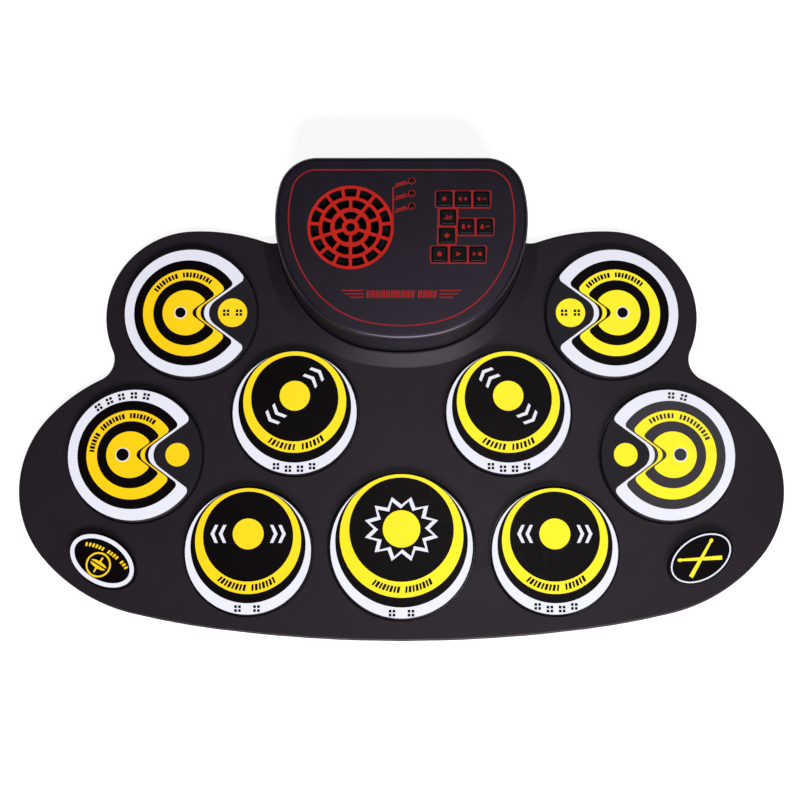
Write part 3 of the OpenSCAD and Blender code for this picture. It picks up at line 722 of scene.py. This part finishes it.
def build_closed_hihat():
    """The small oval pad: white rim, a round symbol of two closed cymbals, and a row of marks."""
    node = "closed_hihat_pad"
    c, tilt, edge = oval_body("closed_hihat_body", node, node, SEAT_Z)
    build_cushion(node, inset(ellipse(c.x, c.y, OVAL_A - 2, OVAL_B - 2, tilt), 0),
                  disc(c.x, c.y, OVAL_B / 2 + 1))
    bm = bmesh.new()
    rim_in, field_in = 0.45, 2.95  # from the oval's edge
    inlay(bm, inset(edge, rim_in), PAD_Z - LAYER, layer_z(1), WHITE)
    inlay(bm, inset(edge, field_in), PAD_Z - LAYER, layer_z(2), BLACK)
    sx, sy, ring_r, ring_w = c.x - 2.1, c.y - 2.4, 7.5, 1.05
    inlay(bm, disc(sx, sy, ring_r, 64), PAD_Z, layer_z(3), YELLOW, [disc(sx, sy, ring_r - ring_w, 64)])
    half_w, bulge, half_gap = 5.1, 1.7, 0.45
    angles = [math.pi * i / 16 for i in range(17)]
    for up in (1, -1):
        plate = [(half_w * math.cos(t), up * (half_gap + bulge * math.sin(t))) for t in angles]
        inlay(bm, turned(plate[::up], sx, sy, tilt), PAD_Z, layer_z(3), YELLOW)
        inlay(bm, turned(stroke_bar(0, up * 3.4, 1.0, 3.2), sx, sy, tilt), PAD_Z, layer_z(4), YELLOW)
    # The marks stand on a flat ellipse of half axes wide and tall, with two of the places left empty
    wide, tall, places, spaces = 17.0, 6.4, 15, (6, 11)
    start, reach, shift = -14.2, 27.6, 1
    mark = rounded(stroke_bar(0, 0, 1.25, 2.3, 0.15), 0.3, 2)
    for i in range(places):
        if i in spaces:
            continue
        x = start + reach * i / (places - 1)
        y = tall * math.sqrt(1 - (x / wide) ** 2)
        lean = math.degrees(math.atan2(-x * tall ** 2, y * wide ** 2))
        placed = turned(mark, x + shift, y, lean)
        inlay(bm, turned(placed, c.x, c.y, tilt), PAD_Z, layer_z(3), YELLOW)
    piece("closed_hihat_print", bm, INKS, node, smooth=20)


def drumstick(length, butt, neck):
    """A tapered stick along x, between -length / 2 and length / 2, with a rounded tip past its end."""
    end, tip_long, tip_half = length / 2, 1.5, 1.05
    angles = [math.radians(a) for a in range(-120, 121, 20)]
    tip = [(end + tip_long * math.cos(t), tip_half * math.sin(t)) for t in angles]
    return [(-end, butt / 2), (-end, -butt / 2), (end - 1, -neck / 2)] + tip + [(end - 1, neck / 2)]


def build_badge():
    """The oval badge: a thin white oval around two plain crossed drumsticks."""
    c, tilt, edge = oval_body("badge_body", "oval_badge", "root", MAT_Z - 0.3)
    bm = bmesh.new()
    field_in, line_out, line_in = 0.5, 1.5, 2.4  # from the oval's edge
    inlay(bm, inset(edge, field_in), PAD_Z - LAYER, layer_z(1), BLACK)
    inlay(bm, inset(edge, line_out), PAD_Z - LAYER, layer_z(2), WHITE, [inset(edge, line_in)])
    for k, lean in ((3, 28), (4, 152)):
        stick = turned(drumstick(25, 2.5, 1.4), c.x, c.y - 0.4, tilt + lean)
        inlay(bm, stick, PAD_Z - LAYER, layer_z(k), YELLOW)
    piece("badge_print", bm, INKS, "root", smooth=20)


# ------------------------------------------------------------- the control box

RED_Z = 0.06  # how far the red ink stands up
FINE = 1  # the second ink of the box print
# Rows of openings: outer radius, inner radius, how many, and the first rib's angle in degrees
GRILLE_ROWS = [(9.6, 5.2, 5, 54), (16.9, 12.1, 10, 18), (23.9, 19.0, 15, 6)]
GRILLE_HUB_R = 2.65
GRILLE_RIM_R = 25.7
RIB_W = 2.0
KEY_HOLE = 4.55  # half a key opening's side
LAMP_HOLE_R = 1.55


def sector(outer, inner, count, start, index):
    """One opening of a grille row: an arc slot between two ribs, with rounded corners."""
    arc_steps, corner_steps, corner_r = 8, 3, 0.45
    mid = math.radians(start + (index + 0.5) * 360 / count)
    half = math.pi / count

    def arc(radius, sign):
        reach = half - math.asin(RIB_W / 2 / radius)
        angles = [mid + sign * reach * (2 * i / arc_steps - 1) for i in range(arc_steps + 1)]
        return [(radius * math.cos(t), radius * math.sin(t)) for t in angles]

    out, back = arc(outer, 1), arc(inner, -1)
    corners = rounded([out[0], out[-1], back[0], back[-1]], corner_r, corner_steps)
    n = corner_steps + 1
    a, b, c, d = [corners[i * n:(i + 1) * n] for i in range(4)]
    return a + out[2:-2] + b + c + back[2:-2] + d


def grille_holes(cx, cy):
    """The grille's openings as corner points: a hub and the rows around it."""
    holes = [disc(cx, cy, GRILLE_HUB_R, 32)]
    for outer, inner, count, start in GRILLE_ROWS:
        for i in range(count):
            holes.append([(cx + x, cy + y) for x, y in sector(outer, inner, count, start, i)])
    return holes


def key_hole(node):
    """The opening for a key, as corner points."""
    return square(node_centre(node), KEY_HOLE, 0.5, 3)


def lamp_places():
    """The lamps' centres: three in a column, from the node's box."""
    low, high = node_box("status_leds")
    x, lamp_r = (low.x + high.x) / 2, 1.9
    return [(x, low.y + lamp_r + (high.y - low.y - 2 * lamp_r) * i / 2) for i in range(3)]


def build_case_top():
    """The box's cover: a rounded D with openings for grille, keys and lamps."""
    chamfer, soft = 0.25, 0.06  # at the shells' joint, and round each opening
    bm = bmesh.new()
    edge = box_edge()
    outer = [ring(bm, inset(edge, chamfer), SPLIT_Z), ring(bm, inset(edge, 0), SPLIT_Z + chamfer)]
    outer += [ring(bm, inset(edge, d), BOX_Z - drop) for d, drop in quarter(EDGE_R, 10)]
    loft(bm, outer)
    inner = [ring(bm, inset(edge, WALL), SPLIT_Z), ring(bm, inset(edge, WALL), BOX_Z - PLATE_T)]
    loft(bm, inner)
    bridge(bm, outer[0], inner[0])
    speaker = node_centre("speaker_magnet")
    holes = [polygon(p) for p in grille_holes(speaker.x, speaker.y) + [key_hole(k) for k in KEYS]]
    holes += [circle(x, y, LAMP_HOLE_R, 32) for x, y in lamp_places()]
    high, low = [], []
    for hole in holes:
        sides = [ring(bm, inset(hole, -soft), BOX_Z), ring(bm, inset(hole, 0), BOX_Z - soft),
                 ring(bm, inset(hole, 0), BOX_Z - PLATE_T)]
        loft(bm, sides)
        high.append(sides[0])
        low.append(sides[-1])
    fill(bm, [outer[-1]] + high)
    fill(bm, [inner[-1]] + low)
    cover = piece("case_cover", bm, [ABS], "root", ["case_top"], smooth=40)
    cut_rear_openings(cover)


def cut_rear_openings(cover):
    """Three round socket holes, the USB opening, and the switch's slot in a shallow recess."""
    hole_r, gap = 3.05, 0.15
    slot_x, slot_z, recess_x, recess_z, recess_t = 5, 1.7, 7, 3, 1.1  # x and z are half sizes
    deep, past = CASE_HIGH.y - 5, CASE_HIGH.y + 2
    z = node_centre("headphone_jack").z
    through = bmesh.new()
    for x in rear_socket_places():
        add_bore(through, x, z, hole_r, deep, past)
    low, high = node_box("usb_socket")
    add_block(through, (low.x - gap, deep, low.z - gap), (high.x + gap, past, high.z + gap))
    x = node_centre("power_switch_body").x
    add_block(through, (x - slot_x, deep, z - slot_z), (x + slot_x, past, z + slot_z))
    recess = bmesh.new()
    add_block(recess, (x - recess_x, CASE_HIGH.y - recess_t, z - recess_z),
              (x + recess_x, past, z + recess_z))
    for tool in (through, recess):
        shape(cover, tool, "DIFFERENCE")


def rear_socket_places():
    """The sockets' x: the two pedal jacks, a half width in from their node's ends, and the headphones."""
    low, high = node_box("pedal_jacks")
    half = 4.5
    return [low.x + half, high.x - half, node_centre("headphone_jack").x]


def build_box_print():
    """Red ink on the box: border, grille, lamp leaders, key frames and the title's plain bars."""
    bm = bmesh.new()
    z0, z1 = BOX_Z - 0.02, BOX_Z + RED_Z
    edge = box_edge()
    border_out, border_in = 7.95, 8.65  # from the box's edge
    inlay(bm, inset(edge, border_out), z0, z1, FINE, [inset(edge, border_in)])
    speaker = node_centre("speaker_magnet")
    openings = [inset(polygon(h), -0.04) for h in grille_holes(speaker.x, speaker.y)]
    inlay(bm, disc(speaker.x, speaker.y, GRILLE_RIM_R, 128), z0, z1, 0, openings)
    build_lamp_print(bm, speaker, z0, z1)
    build_key_frames(bm, z0, z1)
    build_title(bm, z0, z1)
    piece("box_print", bm, [INK_RED, INK_DARK_RED], "root", smooth=20)


def line(bm, a, b, width, z0, z1):
    """A straight ink line."""
    p, q = Vector(a), Vector(b)
    d = q - p
    side = Vector((-d.y, d.x)).normalized() * width / 2
    inlay(bm, [tuple(p - side), tuple(q - side), tuple(q + side), tuple(p + side)], z0, z1, FINE)


def build_lamp_print(bm, speaker, z0, z1):
    """A ring round each lamp, with a leader from a stem beside the grille and a dash over it."""
    ring_out, ring_in, leader_w, dash_w, stem_w = 2.15, 1.65, 0.6, 1.0, 0.8
    lamps = lamp_places()
    stem_x = speaker.x + GRILLE_RIM_R - 0.4
    for x, y in lamps:
        inlay(bm, disc(x, y, ring_out, 40), z0, z1 + 0.01, FINE, [disc(x, y, ring_in, 40)])
        foot, end = Vector((stem_x, y - 4.2)), Vector((x - 1.7, y - 1.2))
        line(bm, foot, end, leader_w, z0, z1 + 0.005)
        d = (end - foot).normalized()
        up = Vector((-d.y, d.x)) * 1.25
        line(bm, foot + d * 2.0 + up, end - d * 1.2 + up, dash_w, z0, z1)
    line(bm, (stem_x, speaker.y), (stem_x, lamps[-1][1] - 3.9), stem_w, z0, z1 + 0.01)


def build_key_frames(bm, z0, z1):
    """A leaning frame round each group of keys. Each stands a little higher than the one before."""
    side, base, top, slant, narrow = 1.1, 1.2, 0.9, 0.07, 0.35
    corner_r, hole_gap, rise = 1.3, 0.48, 0.006
    groups = [["demo_key", "volume_up_key", "volume_down_key"], ["rhythm_key", "style_key"],
              ["tempo_up_key", "tempo_down_key"], ["record_key", "play_key", "start_stop_key"]]
    for i, group in enumerate(groups):
        centres = [node_centre(k) for k in group]
        left, right = min(c.x for c in centres) - KEY_HOLE, max(c.x for c in centres) + KEY_HOLE
        front, back = min(c.y for c in centres) - KEY_HOLE, max(c.y for c in centres) + KEY_HOLE
        lean = slant * (back - front)
        corners = [(left - side - lean / 2 + narrow, front - base), (right + side - lean / 2, front - base),
                   (right + side + lean / 2, back + top), (left - side + lean / 2 - narrow, back + top)]
        holes = [inset(polygon(key_hole(k)), -hole_gap) for k in group]
        inlay(bm, rounded(corners, corner_r, 4), z0, z1 + rise * i, FINE, holes)


def build_title(bm, z0, z1):
    """Slanted bars where a title would be, between three shortening lines each side."""
    y, height, reach, pairs, before_space = 58.5, 4.6, 21.0, 14, 10
    step = 2 * reach / (pairs + 0.5)
    for i in range(pairs):
        x = -reach + (i + 0.5 + (0.5 if i >= before_space else 0)) * step
        for s in (-1, 1):
            bar = stroke_bar(x + s * 0.23 * step, y, 0.32 * step, height, 0.2)
            inlay(bm, rounded(bar, 0.25, 2), z0, z1, FINE)
    start, line_step, line_w = 22.3, 2.05, 0.7
    for i, length in enumerate((13.0, 11.0, 8.0)):
        line_y = y + 2.2 - line_step * i
        for s in (-1, 1):
            line(bm, (s * start, line_y), (s * (start + length), line_y), line_w, z0, z1)


def key_symbol(node):
    """Plain symbols for a key, as lists of points about its centre."""
    plus = [stroke_bar(1.6, 0, 2.2, 0.65), stroke_bar(1.6, 0, 0.65, 2.2)]
    minus = [stroke_bar(1.6, 0, 2.2, 0.65)]
    speaker = [(-2.6, -0.3), (-0.9, -1.5), (-0.9, 1.5), (-2.6, 0.3)]
    metronome = [(-2.8, -1.4), (-0.6, -1.4), (-1.2, 1.4), (-2.2, 1.4)]
    levels = [(-1.8, 1.4), (-0.6, 3.0), (0.6, 2.0), (1.8, 2.6)]
    return {
        "demo_key": [star(1.9, 0.9, 6, 30)],
        "volume_up_key": [speaker] + plus,
        "volume_down_key": [speaker] + minus,
        "rhythm_key": [stroke_bar(x, (h - 3) / 2, 0.7, h) for x, h in levels],
        "style_key": [[(0, -1.7), (1.7, 0), (0, 1.7), (-1.7, 0)]],
        "tempo_up_key": [metronome] + plus,
        "tempo_down_key": [metronome] + minus,
        "record_key": [disc(0, 0, 1.5, 24)],
        "play_key": [[(-1.2, -1.5), (1.6, 0), (-1.2, 1.5)]],
        "start_stop_key": [[(-2.7, -1.2), (-0.5, 0), (-2.7, 1.2)],
                           [(0.5, -1.1), (2.6, -1.1), (2.6, 1.1), (0.5, 1.1)]],
    }[node]


def build_key(node):
    """A square cap with a dished top, bevelled edges and its symbol in red, on a wider flange."""
    half, corner_r, bevel = 4.4, 0.6, 0.7
    dish_in, dish_t, flange_half, flange_t = 1.5, 0.06, 5.1, 0.9
    c, top = node_centre(node), node_box(node)[1].z
    stem_z = BOX_Z - PLATE_T - 0.1
    bm = bmesh.new()
    rings = [ring(bm, square(c, half, corner_r, 4), stem_z)]
    for d, drop in quarter(bevel, 4):
        rings.append(ring(bm, square(c, half - d, corner_r, 4), top - drop))
    rings.append(ring(bm, square(c, half - dish_in, 0.5, 4), top - dish_t))
    loft(bm, rings)
    fill(bm, [rings[-1]])
    flange = [ring(bm, square(c, flange_half, 0.4, 4), z) for z in (stem_z - flange_t, stem_z)]
    loft(bm, flange)
    fill(bm, [flange[0]])
    bridge(bm, flange[1], rings[0])
    piece(node + "_cap", bm, [KEY_ABS], node, [node], smooth=50)
    bm = bmesh.new()
    for i, part in enumerate(key_symbol(node)):
        inlay(bm, [(c.x + x, c.y + y) for x, y in part], top - 0.1, top - 0.02 + 0.004 * i)
    piece(node + "_symbol", bm, [INK_DARK_RED], node, smooth=20)


# -------------------------------------------------------------- light and camera

def build_stage():
    """A pale floor that glows a little, so that it stays white around the object."""
    glow = FLOOR.node_tree.nodes["Principled BSDF"].inputs
    glow["Emission Color"].default_value = (1, 1, 1, 1)
    glow["Emission Strength"].default_value = 0.85
    bm = bmesh.new()
    reach, z = 20000, -0.02
    bm.faces.new(ring(bm, [(-reach, -reach), (reach, -reach), (reach, reach), (-reach, reach)], z))
    mesh = bpy.data.meshes.new("floor")
    bm.to_mesh(mesh)
    bm.free()
    mesh.materials.append(FLOOR)
    floor = bpy.data.objects.new("floor", mesh)
    COLLECTION.objects.link(floor)


def area_light(name, place, size, power):
    """A rectangular light aimed at the origin, in metres and watts."""
    data = bpy.data.lights.new(name, "AREA")
    data.shape = "RECTANGLE"
    data.size, data.size_y = size
    data.energy = power
    lamp = bpy.data.objects.new(name, data)
    lamp.location = place
    lamp.rotation_euler = (-Vector(place)).to_track_quat("-Z", "Y").to_euler()
    COLLECTION.objects.link(lamp)


def build_light():
    """A large soft light from the front, and a small one overhead. The world is white to the
    camera only, so that the backdrop has no horizon."""
    world = bpy.data.worlds.new("studio")
    bpy.context.scene.world = world
    world.use_nodes = True
    nodes, links = world.node_tree.nodes, world.node_tree.links
    background = nodes["Background"]
    background.inputs["Color"].default_value = (1, 1, 1, 1)
    seen = nodes.new("ShaderNodeMapRange")
    seen.inputs["To Min"].default_value = 0.06
    links.new(nodes.new("ShaderNodeLightPath").outputs["Is Camera Ray"], seen.inputs["Value"])
    links.new(seen.outputs["Result"], background.inputs["Strength"])
    area_light("front_softbox", place=(0.4, -2.1, 1.8), size=(2.0, 0.8), power=116)
    area_light("top_softbox", place=(0.14, 0.05, 1.3), size=(0.3, 0.3), power=2.0)


def build_camera():
    """The camera looks down from the front, nearly overhead."""
    elevation, distance = math.radians(80), 1008.8
    target = Vector((0, 1.47, 4.03))
    away = Vector((0, -math.cos(elevation), math.sin(elevation)))
    data = bpy.data.cameras.new("camera")
    data.lens = 74.84
    data.sensor_width = 36
    data.shift_x = -0.0019
    data.shift_y = 0.0006
    camera = bpy.data.objects.new("camera", data)
    camera.location = (target + away * distance) * MM
    camera.rotation_euler = (-away).to_track_quat("-Z", "Y").to_euler()
    COLLECTION.objects.link(camera)
    bpy.context.scene.camera = camera


def build_object():
    dress_cad_nodes()
    build_mat()
    build_collar()
    build_drum_pad("high_tom_pad", TOM_CIRCLES, TOM_TIPS, 45, ((7, 6), -124, -51), 4)
    build_drum_pad("low_tom_pad", TOM_CIRCLES, TOM_TIPS, 135, ((6, 6), -124, -56), 4)
    build_drum_pad("snare_pad", SNARE_CIRCLES, SNARE_TIPS, 0, ((8, 7), -128, -54), 2)
    build_drum_pad("floor_tom_pad", SNARE_CIRCLES, SNARE_TIPS, 0, ((9, 6), -127, -51), 4)
    build_drum_pad("bass_pad", BASS_CIRCLES, (), 0, ((8, 8), -122, -56), 2)
    small_eye, large_eye = (6.2, 3.75, 3.15), (7.3, 4.3, 3.7)
    build_cymbal_pad("crash_pad_left", 1, 8.9, small_eye, ((8, 9), 146, 52), ())
    build_cymbal_pad("crash_pad_right", -1, 8.9, small_eye, ((8, 9), 138, 46), ())
    build_cymbal_pad("hihat_pad", 1, 7.1, large_eye, ((6, 8, 8), 177, 54), (127, 115, 103, 91, 79))
    build_cymbal_pad("ride_pad", -1, 7.1, large_eye, ((7, 10), 124, 22), (87, 75), INK_CHARCOAL)
    build_closed_hihat()
    build_badge()
    build_case_top()
    build_box_print()
    for node in KEYS:
        build_key(node)


build_object()
build_stage()
build_light()
build_camera()
bpy.context.scene.view_settings.view_transform = "Standard"
